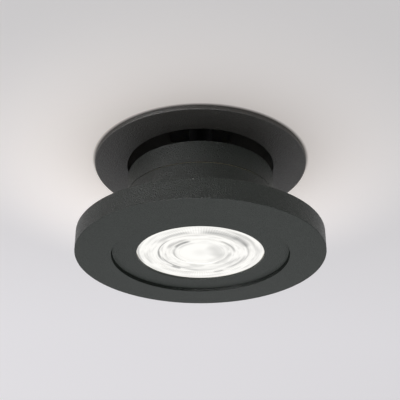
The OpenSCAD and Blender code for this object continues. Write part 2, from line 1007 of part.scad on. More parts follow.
module head_body() {
    top = seam_z - seam_h / 2;
    color(coat)
        difference() {
            union() {
                rotate_extrude()
                    difference() {
                        soft_rect(body_bore_r, head_r, disc_back, top, edge / 2);
                        translate([body_bore_r - over, floor_top])
                            square([cap_bore_r - body_bore_r + over, top - floor_top + over]);
                    }
                translate([0, 0, floor_under])
                    cylinder(r = body_bore_r + over, h = floor_t);
                around(post_at, post_angles)
                    translate([0, 0, floor_top - floor_t / 2])
                        cylinder(r = post_r, h = head_top - cap_plate_t - floor_top + floor_t / 2);
            }
            around(post_at, post_angles)
                translate([0, 0, head_top - cap_screw_l])
                    cylinder(r = m3_r, h = cap_screw_l);
            around(disc_screw_at, disc_screw_angles)
                translate([0, 0, disc_back - over])
                    cylinder(r = m3_r, h = disc_screw_l - web_t + over);
            for (x = [-1, 1], y = [-1, 1])
                translate([x * bracket_screw_at[0], y * bracket_screw_at[1], floor_top - 2.4])
                    cylinder(r = m25_r, h = 2.4 + over);
            for (x = [-1, 1])
                translate([x * board_screw_x, 0, floor_under - over])
                    cylinder(r = m25_r, h = 2.2 + over);
            translate([0, grommet_y, floor_under - over])
                cylinder(r = grommet_r, h = floor_t + 2 * over);
        }
}

module rear_cap() {
    bottom = seam_z + seam_h / 2;
    color(coat)
        difference() {
            union() {
                rotate_extrude()
                    soft_rect(cap_bore_r, head_r, bottom, head_top, edge);
                translate([0, 0, head_top - cap_plate_t])
                    cylinder(r = cap_bore_r + over, h = cap_plate_t);
            }
            stem_slot();
            around(post_at, post_angles)
                translate([0, 0, head_top])
                    mirror([0, 0, 1])
                        countersink(cap_plate_t + over);
        }
}

// Slot in the cap's top that the stem swings in
module stem_slot() {
    run = slot_reach - slot_w / 2;
    translate([0, 0, head_top - cap_plate_t - over])
        union() {
            translate([-slot_w / 2, -run, 0])
                cube([slot_w, 2 * run, cap_plate_t + 2 * over]);
            for (side = [-1, 1])
                translate([0, side * run, 0])
                    cylinder(r = slot_w / 2, h = cap_plate_t + 2 * over);
        }
}

module cap_screws() {
    color(steel)
        around(post_at, post_angles)
            translate([0, 0, head_top])
                mirror([0, 0, 1])
                    countersunk_screw(cap_screw_l);
}

module seam_gasket() {
    color(silicone)
        ring(gasket_r0, gasket_r1, seam_z - seam_h / 2, seam_z + seam_h / 2);
}

module thermal_pad() {
    color("#8b8f94")
        ring(0, pad_r, floor_under - pad_t, floor_under);
}

module led_board() {
    color("#f2f3f1")
        difference() {
            ring(0, board_r, board_front, board_back);
            for (x = [-1, 1])
                translate([x * board_screw_x, 0, board_front - over])
                    cylinder(r = m25_r, h = board_t + 2 * over);
            translate([0, lead_hole_y, board_front - over])
                cylinder(r = lead_r, h = board_t + 2 * over);
        }
}

module led_chip() {
    color("#e8c65a")
        union() {
            translate([-chip_w / 2, -chip_w / 2, board_front - chip_t])
                cube([chip_w, chip_w, chip_t]);
            ring(0, chip_glow_r, board_front - chip_t - chip_glow_t, board_front - chip_t);
        }
}

module board_screws() {
    color(zinc)
        for (x = [-1, 1])
            translate([x * board_screw_x, 0, board_front])
                pan_screw(m25_r, 2.2, 1.6, board_t + pad_t + 2.2);
}

module tilt_bracket() {
    width = 2 * (ear_x + ear_t);
    color(zinc)
        difference() {
            union() {
                translate([-width / 2, -bracket_l / 2, floor_top])
                    cube([width, bracket_l, bracket_t]);
                for (x = [-ear_x - ear_t, ear_x]) {
                    translate([x, -ear_w / 2, floor_top])
                        cube([ear_t, ear_w, pivot_z - floor_top]);
                    cross_rod(x, x + ear_t, 0, pivot_z, ear_w / 2);
                }
            }
            cross_rod(-width, width, 0, pivot_z, pivot_screw_r);
            for (x = [-1, 1], y = [-1, 1])
                translate([x * bracket_screw_at[0], y * bracket_screw_at[1], floor_top - over])
                    cylinder(r = m25_r, h = bracket_t + 2 * over);
            translate([-fork_slot_w / 2, 1.2, floor_top - over])
                cube([fork_slot_w, bracket_l, bracket_t + 2 * over]);
        }
}

module bracket_screws() {
    color(steel)
        for (x = [-1, 1], y = [-1, 1])
            translate([x * bracket_screw_at[0], y * bracket_screw_at[1], floor_top + bracket_t])
                mirror([0, 0, 1])
                    pan_screw(m25_r, 2.2, 1.5, bracket_t + 2.4);
}

// Shoulder screws through the ears, whose plain tips carry the fork
module pivot_screws() {
    color(steel)
        for (side = [0, 1])
            mirror([side, 0, 0])
                difference() {
                    union() {
                        cross_rod(pivot_tip_x, ear_x + ear_t, 0, pivot_z, pivot_screw_r);
                        cross_rod(ear_x + ear_t, ear_x + ear_t + pivot_head_t, 0, pivot_z, pivot_head_r);
                    }
                    translate([ear_x + ear_t + 0.8, 0, pivot_z])
                        rotate([0, 90, 0])
                            hex_bar(2.5, pivot_head_t);
                }
}

module pivot_washers() {
    color(cream)
        for (side = [0, 1])
            mirror([side, 0, 0])
                difference() {
                    cross_rod(fork_w / 2 + 0.1, ear_x, 0, pivot_z, pivot_washer_r);
                    cross_rod(0, 2 * ear_x, 0, pivot_z, pivot_screw_r);
                }
}

// The lead goes down from the tilt axis, along the floor, and down to the board
module lead_in_head() {
    down_y = lead_hole_y - lead_bend;
    run_z = pivot_z - lead_bend;
    color(black)
        union() {
            quarter_bend(lead_bend, pivot_z, lead_bend, 180, lead_r);
            translate([0, lead_bend, run_z])
                rotate([-90, 0, 0])
                    cylinder(r = lead_r, h = down_y - lead_bend, $fn = 32);
            quarter_bend(down_y, run_z - lead_bend, lead_bend, 0, lead_r);
            translate([0, lead_hole_y, board_front - lead_tip])
                cylinder(r = lead_r, h = run_z - lead_bend - board_front + lead_tip, $fn = 32);
        }
}

module lead_grommet() {
    color(rubber)
        translate([0, grommet_y, 0])
            union() {
                ring(grommet_bore_r, grommet_r, floor_under, floor_top);
                ring(grommet_bore_r, grommet_flange_r, floor_top, floor_top + grommet_flange_t);
            }
}

// ---- Draw ----

trim_ring();
flange_gasket();
recess_sleeve();
sleeve_screws();
swivel_bridge();
bridge_screws();
swivel_bush();
can_cover();
cover_screws();
led_driver();
terminal_block();
driver_leads();
gland_body();
gland_locknut();
gland_seal();
gland_nut();
clip_bracket();  // clip_bracket_right
mirror([1, 0, 0]) clip_bracket();  // clip_bracket_left
clip_pin();  // clip_pin_right
mirror([1, 0, 0]) clip_pin();  // clip_pin_left
clip_rivets();
lead_upper();
spring_clip();  // spring_clip_right
mirror([1, 0, 0]) spring_clip();  // spring_clip_left
clip_pad();  // clip_pad_right
mirror([1, 0, 0]) clip_pad();  // clip_pad_left
torsion_spring();  // torsion_spring_right
mirror([1, 0, 0]) torsion_spring();  // torsion_spring_left
swivel_stem();
swivel_washer();
swivel_nut();
stop_pin();
lead_in_stem();
face_disc();
front_bezel();
lens();
lens_gasket();
lens_holder();
disc_screws();
head_body();
rear_cap();
seam_gasket();
cap_screws();
thermal_pad();
led_board();
led_chip();
board_screws();
tilt_bracket();
bracket_screws();
pivot_screws();
pivot_washers();
lead_grommet();
lead_in_head();
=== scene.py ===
"""Looks of the soffit downlight: coated castings, lit lens, steel fixings, and the soffit round them."""

import json
import math

import bmesh
import bpy
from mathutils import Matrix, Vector


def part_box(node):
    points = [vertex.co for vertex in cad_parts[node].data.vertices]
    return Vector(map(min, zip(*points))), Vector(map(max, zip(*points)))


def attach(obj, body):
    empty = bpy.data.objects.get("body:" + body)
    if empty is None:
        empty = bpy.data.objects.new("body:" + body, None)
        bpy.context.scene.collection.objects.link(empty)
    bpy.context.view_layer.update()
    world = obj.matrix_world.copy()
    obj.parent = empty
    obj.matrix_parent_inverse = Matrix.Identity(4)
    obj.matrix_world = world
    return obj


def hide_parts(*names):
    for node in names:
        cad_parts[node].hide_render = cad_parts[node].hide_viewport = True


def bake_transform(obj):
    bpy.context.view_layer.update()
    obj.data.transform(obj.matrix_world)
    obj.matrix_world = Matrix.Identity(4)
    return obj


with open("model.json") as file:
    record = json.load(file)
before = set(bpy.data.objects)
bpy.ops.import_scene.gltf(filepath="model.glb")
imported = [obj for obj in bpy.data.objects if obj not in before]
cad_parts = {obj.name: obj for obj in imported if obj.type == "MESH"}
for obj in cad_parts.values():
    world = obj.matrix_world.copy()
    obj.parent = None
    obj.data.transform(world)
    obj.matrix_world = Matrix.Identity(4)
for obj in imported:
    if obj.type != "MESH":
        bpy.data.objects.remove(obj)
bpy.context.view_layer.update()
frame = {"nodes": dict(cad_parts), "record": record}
nodes = frame["nodes"]
MM = 0.001  # in metres, the scene's unit


# ---- Camera: the photograph's own, worked out from the ellipses of the disc, the flange and the head ----

CAMERA_AT = (-0.18, -307.4, -182.4)  # mm
CAMERA_PITCH = 118.28  # degrees about X: 28.28 above the horizon
CAMERA_LENS = 75.4  # mm, on a sensor 36 mm wide

camera = bpy.data.objects.new("camera", bpy.data.cameras.new("camera"))
camera.location = Vector(CAMERA_AT) * MM
camera.rotation_euler = (math.radians(CAMERA_PITCH), 0, 0)
camera.data.lens = CAMERA_LENS
camera.data.sensor_width = 36
camera.data.sensor_fit = "HORIZONTAL"
camera.data.clip_start = 0.01
bpy.context.scene.collection.objects.link(camera)
bpy.context.scene.camera = camera


# ---- Material helpers ----


def linear(colour):
    """An sRGB hex colour as linear RGBA."""
    channels = [int(colour[i : i + 2], 16) / 255 for i in (1, 3, 5)]
    return [c / 12.92 if c <= 0.04045 else ((c + 0.055) / 1.055) ** 2.4 for c in channels] + [1.0]


def add(tree, kind, inputs=None, **settings):
    """Adds a node of that kind: settings go on the node, and inputs takes values and links."""
    new = tree.nodes.new(kind)
    for name, value in settings.items():
        setattr(new, name, value)
    for name, value in (inputs or {}).items():
        if isinstance(value, bpy.types.NodeSocket):
            tree.links.new(value, new.inputs[name])
        else:
            new.inputs[name].default_value = value
    return new


def per_metre(size_mm):
    """The scale that gives a pattern its real size."""
    return 1 / (size_mm * MM)


def new_material(name):
    """An empty material with its shader and its place coordinates, in metres."""
    material = bpy.data.materials.new(name)
    material.use_nodes = True
    tree = material.node_tree
    tree.nodes.clear()
    shader = add(tree, "ShaderNodeBsdfPrincipled")
    add(tree, "ShaderNodeOutputMaterial", {"Surface": shader.outputs["BSDF"]})
    place = add(tree, "ShaderNodeTexCoord").outputs["Object"]
    return material, tree, shader, place


GRAIN_RANGE = (0.3, 0.7)  # where nearly all of a noise's values lie


def speckle(tree, place, size_mm, low, high, detail=2.0):
    """Grain of that size, as a number between low and high."""
    noise = add(tree, "ShaderNodeTexNoise", {"Vector": place, "Scale": per_metre(size_mm), "Detail": detail})
    least, most = GRAIN_RANGE
    return add(
        tree,
        "ShaderNodeMapRange",
        {"Value": noise.outputs["Fac"], "From Min": least, "From Max": most, "To Min": low, "To Max": high},
    ).outputs["Result"]


def between(tree, share, first, second):
    """The colour between two hex colours."""
    colours = {"Factor": share, 6: linear(first), 7: linear(second)}
    return add(tree, "ShaderNodeMix", colours, data_type="RGBA").outputs[2]


def share_of(tree, amount, share):
    """That share of an amount, such as the light that a shadow leaves."""
    return add(tree, "ShaderNodeMath", {0: amount, 1: share}, operation="MULTIPLY").outputs[0]


def eased(tree, value, start, stop, low=0.0, high=1.0):
    """A soft step from low to high while the value goes from start to stop."""
    bounds = {"From Min": start, "From Max": stop, "To Min": low, "To Max": high}
    step = add(tree, "ShaderNodeMapRange", {"Value": value, **bounds}, interpolation_type="SMOOTHSTEP")
    return step.outputs["Result"]


def sloped(tree, base, value, slope):
    """The base, with the value times its slope added."""
    return add(tree, "ShaderNodeMath", {0: value, 1: slope, 2: base}, operation="MULTIPLY_ADD").outputs[0]


def without(tree, amount, taken):
    """What is left of an amount of light when that share of it is taken."""
    left = add(tree, "ShaderNodeMath", {0: 1.0, 1: taken}, operation="SUBTRACT").outputs[0]
    return share_of(tree, amount, left)


# ---- Materials ----

SHEEN_GRAIN, SHEEN_SPREAD = 1.7, (-0.08, 0.1)  # size against the sand's, and how far its roughness departs
SWELL_GRAIN, SWELL_SHARE = 6, 0.15  # the coat's slow swell: its size and height against the sand's


def powder_coat(name, dark, light, sand_mm, relief_mm, roughness, ior=1.45):
    """Polyester powder coat, finely sanded, on cast aluminium: matt, with grains that catch the light.

    Real sand is about 0.1 mm, too fine to show, so it is drawn as coarse as sand_mm says.
    """
    material, tree, shader, place = new_material(name)
    tint = between(tree, speckle(tree, place, sand_mm, 0, 1), dark, light)
    tree.links.new(tint, shader.inputs["Base Color"])
    bright, dull = (roughness + spread for spread in SHEEN_SPREAD)
    sheen = speckle(tree, place, sand_mm * SHEEN_GRAIN, bright, dull)
    tree.links.new(sheen, shader.inputs["Roughness"])
    fine, slow = per_metre(sand_mm), per_metre(SWELL_GRAIN * sand_mm)
    sand = add(tree, "ShaderNodeTexNoise", {"Vector": place, "Scale": fine, "Detail": 1.5}).outputs["Fac"]
    swell = add(tree, "ShaderNodeTexNoise", {"Vector": place, "Scale": slow, "Detail": 1.0}).outputs["Fac"]
    height = sloped(tree, sand, swell, SWELL_SHARE)
    bump = add(tree, "ShaderNodeBump", {"Height": height, "Strength": 1.0, "Distance": relief_mm * MM})
    tree.links.new(bump.outputs["Normal"], shader.inputs["Normal"])
    shader.inputs["IOR"].default_value = ior
    return material


ROLLED = (1, 0.12, 1)  # stretches grain into lines along Y
DRAWN = (1, 1, 0.15)  # stretches grain into lines along Z


def zinc_plate(name):
    """Steel strip, zinc plated and passivated: grey metal with a faint bluish bloom and rolling lines."""
    material, tree, shader, place = new_material(name)
    rolled = add(tree, "ShaderNodeMapping", {"Vector": place, "Scale": ROLLED}).outputs["Vector"]
    bloom = speckle(tree, place, size_mm=2.5, low=0, high=1)
    lines = speckle(tree, rolled, size_mm=0.25, low=0.38, high=0.54)
    tree.links.new(between(tree, bloom, "#8b8f95", "#a3a29c"), shader.inputs["Base Color"])
    tree.links.new(lines, shader.inputs["Roughness"])
    shader.inputs["Metallic"].default_value = 1.0
    bump = add(tree, "ShaderNodeBump", {"Height": lines, "Strength": 0.25, "Distance": 0.02 * MM})
    tree.links.new(bump.outputs["Normal"], shader.inputs["Normal"])
    return material


def stainless(name):
    """Stainless steel, drawn or turned: fine lines that spread the highlight, a little brighter than zinc."""
    material, tree, shader, place = new_material(name)
    drawn = add(tree, "ShaderNodeMapping", {"Vector": place, "Scale": DRAWN}).outputs["Vector"]
    lines = speckle(tree, drawn, size_mm=0.15, low=0.2, high=0.36)
    bloom = speckle(tree, place, size_mm=1.2, low=0, high=1)
    tree.links.new(between(tree, bloom, "#8e9091", "#a3a29e"), shader.inputs["Base Color"])
    tree.links.new(lines, shader.inputs["Roughness"])
    shader.inputs["Metallic"].default_value = 1.0
    return material


MOULD_SPREAD = (-0.05, 0.08)  # how far the roughness of the tool's texture departs from the piece's


def moulded(name, dark, light, grain_mm, roughness, relief_mm=0.01, glow=None):
    """Moulded plastic: even colour with a slight cloud, and the fine spark texture of its tool."""
    material, tree, shader, place = new_material(name)
    cloud = speckle(tree, place, size_mm=4, low=0, high=1, detail=1.0)
    tree.links.new(between(tree, cloud, dark, light), shader.inputs["Base Color"])
    bright, dull = (roughness + spread for spread in MOULD_SPREAD)
    grain = speckle(tree, place, grain_mm, bright, dull)
    tree.links.new(grain, shader.inputs["Roughness"])
    bump = add(tree, "ShaderNodeBump", {"Height": grain, "Strength": 0.6, "Distance": relief_mm * MM})
    tree.links.new(bump.outputs["Normal"], shader.inputs["Normal"])
    if glow:
        colour, strength = glow
        shader.inputs["Emission Color"].default_value = linear(colour)
        shader.inputs["Emission Strength"].default_value = strength
    return material


LENS_R = 25.5  # mm, the lens's face
LENS_GLOW = 0.86  # strength of the light that its face gives off
# Fine lines round the lens: (share of its radius, half width, how much light they take)
LENS_LINES = [
    (0.0, 0.20, 0.11),
    (0.335, 0.014, 0.07),
    (0.38, 0.012, 0.10),
    (0.485, 0.012, 0.08),
    (0.66, 0.010, 0.07),
    (0.755, 0.012, 0.09),
    (0.84, 0.012, 0.07),
    (0.92, 0.014, 0.06),
]
# Arcs where a ring turns the light away: (share of the radius, half width, middle of the arc in degrees
# from +X towards +Y, half its length in degrees, how much light it takes)
LENS_ARCS = [
    (0.755, 0.110, -66, 22, 0.52),
    (0.765, 0.100, -34, 15, 0.62),
    (0.765, 0.060, -126, 22, 0.40),
    (0.435, 0.044, -134, 20, 0.72),
    (0.365, 0.036, -131, 24, 0.28),
    (0.538, 0.055, -138, 22, 0.40),
    (0.665, 0.024, -172, 34, 0.60),
    (0.655, 0.024, 176, 10, 0.50),
    (0.634, 0.026, 134, 30, 0.66),
    (0.670, 0.050, 126, 7, 0.62),
    (0.668, 0.022, 92, 22, 0.30),
    (0.540, 0.038, -30, 24, 0.52),
    (0.450, 0.040, -22, 14, 0.22),
    (0.465, 0.050, 32, 28, 0.36),
    (0.260, 0.190, -14, 46, 0.30),
    (0.350, 0.110, 36, 32, 0.16),
    (0.755, 0.024, 0, 26, 0.26),
    (0.715, 0.052, 30, 22, 0.44),
    (0.610, 0.080, 44, 26, 0.22),
    (0.765, 0.050, 67, 6, 0.46),
    (0.875, 0.045, -34, 26, 0.34),
    (0.930, 0.030, 12, 28, 0.16),
    (0.420, 0.034, 166, 44, 0.42),
    (0.560, 0.040, 166, 14, 0.24),
    (0.575, 0.060, 118, 26, 0.14),
    (0.870, 0.044, 166, 14, 0.22),
    (0.980, 0.030, 176, 18, 0.45),
    (0.820, 0.070, 122, 20, 0.14),
]
ARC_FADE = (1.3, 0.5)  # an arc fades from this share of its half length to this one
TICKS = 128  # flutes round the lens
TICK_RING = (0.80, 0.19, 0.07)  # share of the radius, half width, and how much light a flute takes
STREAK_TURN, STREAK_RINGS = 2.4, 24.0  # streaks: how often they change round the axis and outward
STREAK_RANGE, STREAK_DEPTH = (0.47, 0.72), 0.26  # the noise's values that show, and how much light they take
STREAKS_FROM, STREAKS_FULL = 0.3, 0.5  # shares of the radius


def ring(tree, out, at, half, depth):
    """How much light a soft ring round the axis takes, where out is a place's share of the radius."""
    off = add(tree, "ShaderNodeMath", {0: out, 1: at}, operation="SUBTRACT").outputs[0]
    gap = add(tree, "ShaderNodeMath", {0: off}, operation="ABSOLUTE").outputs[0]
    return eased(tree, gap, 0.0, half, depth, 0.0)


def arc(tree, out, way, at, half, middle, reach, depth):
    """How much light a soft arc takes: a ring that fades away from its middle, along way, the direction."""
    toward = (math.cos(math.radians(middle)), math.sin(math.radians(middle)), 0)
    nearness = add(tree, "ShaderNodeVectorMath", {0: way, 1: toward}, operation="DOT_PRODUCT")
    end, full = (math.cos(math.radians(reach * stretch)) for stretch in ARC_FADE)
    window = eased(tree, nearness.outputs["Value"], end, full)
    return share_of(tree, ring(tree, out, at, half, depth), window)


def flute_shade(tree, out, way):
    """Fine flutes round the axis, each a little darker than the gap to the next."""
    sides = add(tree, "ShaderNodeSeparateXYZ", {"Vector": way}).outputs
    turn = add(tree, "ShaderNodeMath", {0: sides["Y"], 1: sides["X"]}, operation="ARCTAN2").outputs[0]
    waves = add(tree, "ShaderNodeMath", {0: turn, 1: float(TICKS)}, operation="MULTIPLY").outputs[0]
    comb = add(tree, "ShaderNodeMath", {0: waves}, operation="SINE").outputs[0]
    return share_of(tree, comb, ring(tree, out, *TICK_RING))


def flow_streaks(tree, out, way):
    """How much light the faint streaks round the axis take. They come from the flow of the moulding."""
    around = (STREAK_TURN, STREAK_TURN, 0)
    spun = add(tree, "ShaderNodeVectorMath", {0: way, 1: around}, operation="MULTIPLY").outputs["Vector"]
    outward = add(tree, "ShaderNodeMath", {0: out, 1: STREAK_RINGS}, operation="MULTIPLY").outputs[0]
    lifted = add(tree, "ShaderNodeCombineXYZ", {"Z": outward}).outputs["Vector"]
    polar = add(tree, "ShaderNodeVectorMath", {0: spun, 1: lifted}, operation="ADD").outputs["Vector"]
    flow = add(tree, "ShaderNodeTexNoise", {"Vector": polar, "Scale": 1.0, "Detail": 2.0}).outputs["Fac"]
    least, most = STREAK_RANGE
    taken = add(
        tree,
        "ShaderNodeMapRange",
        {"Value": flow, "From Min": least, "From Max": most, "To Min": 0.0, "To Max": STREAK_DEPTH},
    ).outputs["Result"]
    outer = add(
        tree, "ShaderNodeMapRange", {"Value": out, "From Min": STREAKS_FROM, "From Max": STREAKS_FULL}
    ).outputs["Result"]
    return share_of(tree, taken, outer)


def lens_light(tree, place):
    """How much of the LED's light each place of the lens's face sends on."""
    flat = add(tree, "ShaderNodeVectorMath", {0: place, 1: (1, 1, 0)}, operation="MULTIPLY").outputs["Vector"]
    radius = add(tree, "ShaderNodeVectorMath", {0: flat}, operation="LENGTH").outputs["Value"]
    out = add(tree, "ShaderNodeMath", {0: radius, 1: LENS_R * MM}, operation="DIVIDE").outputs[0]
    way = add(tree, "ShaderNodeVectorMath", {0: flat}, operation="NORMALIZE").outputs["Vector"]
    light = 1.0
    for line in LENS_LINES:
        light = without(tree, light, ring(tree, out, *line))
    for bow in LENS_ARCS:
        light = without(tree, light, arc(tree, out, way, *bow))
    toothed = flute_shade(tree, out, way)
    light = add(tree, "ShaderNodeMath", {0: light, 1: toothed}, operation="SUBTRACT").outputs[0]
    return without(tree, light, flow_streaks(tree, out, way))


def lit_acrylic():
    """Moulded acrylic optic over a lit LED: nearly white, with grey lines where its rings turn the light."""
    material, tree, shader, place = new_material("acrylic_optic_lit")
    strength = share_of(tree, lens_light(tree, place), LENS_GLOW)
    shader.inputs["Base Color"].default_value = linear("#5c5f5e")
    shader.inputs["Roughness"].default_value = 0.12
    shader.inputs["IOR"].default_value = 1.49
    shader.inputs["Emission Color"].default_value = linear("#fffdf8")
    tree.links.new(strength, shader.inputs["Emission Strength"])
    return material


# Coats: name, dark and light colour, the sand's size and relief in mm, roughness and, where it isn't 1.45,
# the IOR, matched to the photo's sheen at a flat angle. The light has one coat, a shade apart in the photo on
# the disc, the head and the flange: the head's and the flange's copies are painted a little lighter, standing
# in for the light that these pieces get. The can is only primed, and the stem is black.
graphite = powder_coat("graphite_sand_powder_coat", "#1e2520", "#2c332d", 0.42, 0.44, 0.4)
head_coat_painted_lighter = powder_coat("graphite_sand_powder_coat_painted_lighter_on_the_head", "#1f2621", "#2d342e", 0.42, 0.42, 0.41, 1.48)
flange_coat_painted_lighter = powder_coat("graphite_powder_coat_painted_lighter_on_the_flange", "#302f2b", "#3c3b36", 0.42, 0.32, 0.46, 1.72)
can_coat = powder_coat("grey_primer_on_the_can", "#6a6965", "#75746f", 0.6, 0.1, 0.55)
black_coat = powder_coat("black_powder_coat", "#0d0d0e", "#141415", 0.35, 0.04, 0.7)
zinc = zinc_plate("zinc_plated_strip")
steel = stainless("stainless_wire_and_screws")
# Moulded pieces: name, dark and light colour, the texture's size in mm, roughness and, where it isn't 0.01,
# the texture's relief in mm
black_nylon = moulded("black_glass_filled_nylon", "#151516", "#1c1c1d", 0.3, 0.45)
rubber = moulded("black_epdm_rubber", "#181817", "#222220", 0.5, 0.75, 0.02)
silicone = moulded("brown_silicone_gasket", "#a0946f", "#b8ac88", 0.5, 0.6)
white_nylon = moulded("natural_acetal", "#cfc9b6", "#dbd6c6", 0.4, 0.35)
sleeve = moulded("black_silicone_lead", "#101010", "#181818", 0.6, 0.55)
wire_cover = moulded("blue_wire_cover", "#27528b", "#2f5f9e", 0.6, 0.4)
driver_case = moulded("white_abs_case", "#d6d6d1", "#e2e2de", 0.35, 0.42)
terminal = moulded("natural_nylon_terminal", "#dcd8ca", "#e8e5d9", 0.5, 0.35)
board = moulded("white_solder_mask", "#dfe2df", "#eef0ee", 0.8, 0.3)
phosphor = moulded("led_phosphor_lit", "#e6c04a", "#f0d070", 0.4, 0.4, glow=("#fff3d6", 1.5))
pad = moulded("grey_thermal_pad", "#84888d", "#92969b", 0.8, 0.7)
optic = lit_acrylic()

SLOT_FINISH = {
    "graphite_coat": graphite,
    "black_coat": black_coat,
    "zinc_steel": zinc,
    "bright_steel": steel,
    "black_nylon": black_nylon,
    "black_rubber": rubber,
    "brown_silicone": silicone,
    "white_nylon": white_nylon,
    "lead_sleeve": sleeve,
    "wire_insulation": wire_cover,
    "driver_case": driver_case,
    "terminal_plastic": terminal,
    "lens_acrylic": optic,
    "led_phosphor": phosphor,
    "board_white": board,
    "pad_grey": pad,
}

# These pieces look a little different from the rest of their slot: the can is primed, and the head's and the
# flange's coats are copies painted a little lighter, with a higher IOR, standing in for light
NODE_FINISH = {
    "recess_sleeve": can_coat,
    "can_cover": can_coat,
    "trim_ring": flange_coat_painted_lighter,
    "head_body": head_coat_painted_lighter,
    "rear_cap": head_coat_painted_lighter,
}

for part in frame["record"]["subparts"]:
    mesh = nodes[part["node"]].data
    mesh.materials.clear()
    mesh.materials.append(NODE_FINISH.get(part["node"], SLOT_FINISH[part["material_slot"]]))


# ---- Soft edges: as deburring, drawing and moulding leave them, so that they catch the light ----


SAME_PLACE = 0.002  # mm: corners as close as this are one
SHARP = 38  # degrees


def soften(width_mm, *names):
    """Rounds the sharp edges of these CAD nodes by so much, and leaves their faces where they are."""
    for name in names:
        solid = nodes[name]
        joined = solid.modifiers.new("joined", "WELD")
        joined.merge_threshold = SAME_PLACE * MM
        rounded = solid.modifiers.new("rounded", "BEVEL")
        rounded.width = width_mm * MM
        rounded.segments = 2
        rounded.limit_method = "ANGLE"
        rounded.angle_limit = math.radians(SHARP)
        rounded.use_clamp_overlap = True
        rounded.harden_normals = True


soften(0.3, "gland_nut", "gland_body", "gland_locknut", "led_driver")
soften(0.2, "swivel_bridge", "swivel_nut", "tilt_bracket", "terminal_block")
soften(0.2, "clip_pad_right", "clip_pad_left")
soften(0.15, "clip_bracket_right", "clip_bracket_left", "spring_clip_right", "spring_clip_left")
soften(0.08, "sleeve_screws", "cover_screws", "bridge_screws", "cap_screws", "disc_screws", "pivot_screws")


# ---- Pieces that take the place of a plainer CAD solid ----


def mesh_piece(name, points, faces, finish):
    """A smooth mesh object from points in mm and faces, in that finish."""
    shape = bmesh.new()
    corners = [shape.verts.new(Vector(p) * MM) for p in points]
    for face in faces:
        shape.faces.new([corners[i] for i in face])
    bmesh.ops.recalc_face_normals(shape, faces=shape.faces)
    mesh = bpy.data.meshes.new(name)
    shape.to_mesh(mesh)
    shape.free()
    mesh.materials.append(finish)
    mesh.polygons.foreach_set("use_smooth", [True] * len(mesh.polygons))
    piece = bpy.data.objects.new(name, mesh)
    bpy.context.scene.collection.objects.link(piece)
    return piece


def turned(name, outline, finish, steps, lift):
    """A piece turned about Z from its outline of (radius, height) in mm, from the axis to the axis.

    lift gives how far a corner is raised, from its radius and its number on the way round.
    """
    points, faces = [], []
    rows = []
    for radius, height in outline:
        if radius == 0:
            rows.append([len(points)] * steps)
            points.append((0, 0, height))
            continue
        row = []
        for i in range(steps):
            turn = 2 * math.pi * i / steps
            row.append(len(points))
            points.append((radius * math.cos(turn), radius * math.sin(turn), height + lift(radius, i)))
        rows.append(row)
    for lower, upper in zip(rows, rows[1:]):
        for i in range(steps):
            k = (i + 1) % steps
            face = []
            for corner in (lower[i], lower[k], upper[k], upper[i]):
                if corner not in face:
                    face.append(corner)
            if len(face) > 2:
                faces.append(face)
    return mesh_piece(name, points, faces, finish)


def wire(name, route, radius, finish, sides=12):
    """Round wire along a route of points in mm."""
    points, faces = [], []
    side = None
    for i, here in enumerate(route):
        before, after = route[max(i - 1, 0)], route[min(i + 1, len(route) - 1)]
        ahead = (Vector(after) - Vector(before)).normalized()
        side = ahead.orthogonal() if side is None else side - ahead * side.dot(ahead)
        side.normalize()
        up = ahead.cross(side)
        for k in range(sides):
            turn = 2 * math.pi * k / sides
            points.append(Vector(here) + radius * (math.cos(turn) * side + math.sin(turn) * up))
    for i in range(len(route) - 1):
        for k in range(sides):
            a, b = i * sides + k, i * sides + (k + 1) % sides
            faces.append((a, b, b + sides, a + sides))
    faces.append(range(sides))
    faces.append(range((len(route) - 1) * sides, len(route) * sides))
    return mesh_piece(name, points, faces, finish)


# Torsion springs: pin, coil and legs as in the CAD, in mm and degrees
PIN_X, PIN_Z = 29, 24
COIL_R, COIL_PITCH, WIRE_R = 2.4, 1.3, 0.4
COIL_FROM, COIL_TO = 188, 1690
BACK_LEG, ARM_LEG = 7, 11
COIL_STEP = 12  # degrees between two rings of the wire's mesh
BACK_LEG_RINGS = (0, 0.1, 1, 3, 5, 6.5)  # mm along the leg
ARM_LEG_RINGS = (0, 0.5, 2, 5, 8, ARM_LEG - 0.1, ARM_LEG)


def spring(name, side):
    """A torsion spring: its back leg lies on the can, its front leg on the clip, and its coil between."""
    half = COIL_PITCH * (COIL_TO - COIL_FROM) / 360 / 2

    def at(angle, out=0.0):
        """The wire's place at an angle round the coil, or so many mm from there along the tangent."""
        a = math.radians(angle)
        x = PIN_X + COIL_R * math.cos(a) - out * math.sin(a)
        z = PIN_Z + COIL_R * math.sin(a) + out * math.cos(a)
        return (side * x, COIL_PITCH * (angle - COIL_FROM) / 360 - half, z)

    route = [at(COIL_FROM, -BACK_LEG + step) for step in BACK_LEG_RINGS]
    route += [at(a) for a in range(COIL_FROM, COIL_TO + 1, COIL_STEP)]
    route += [at(COIL_TO, step) for step in ARM_LEG_RINGS]
    piece = wire(name, route, WIRE_R, steel)
    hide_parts(name.replace("wire", "spring"))
    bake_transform(piece)


spring("torsion_wire_right", 1)
spring("torsion_wire_left", -1)


LEAD_BEND = 3.6  # mm, to the middle of the lead
STEM_RINGS, RUN_RINGS = 12, 4  # rings of the lead's mesh down the stem and along the run across the head
BEND_TURN = 10  # degrees between two rings round a bend


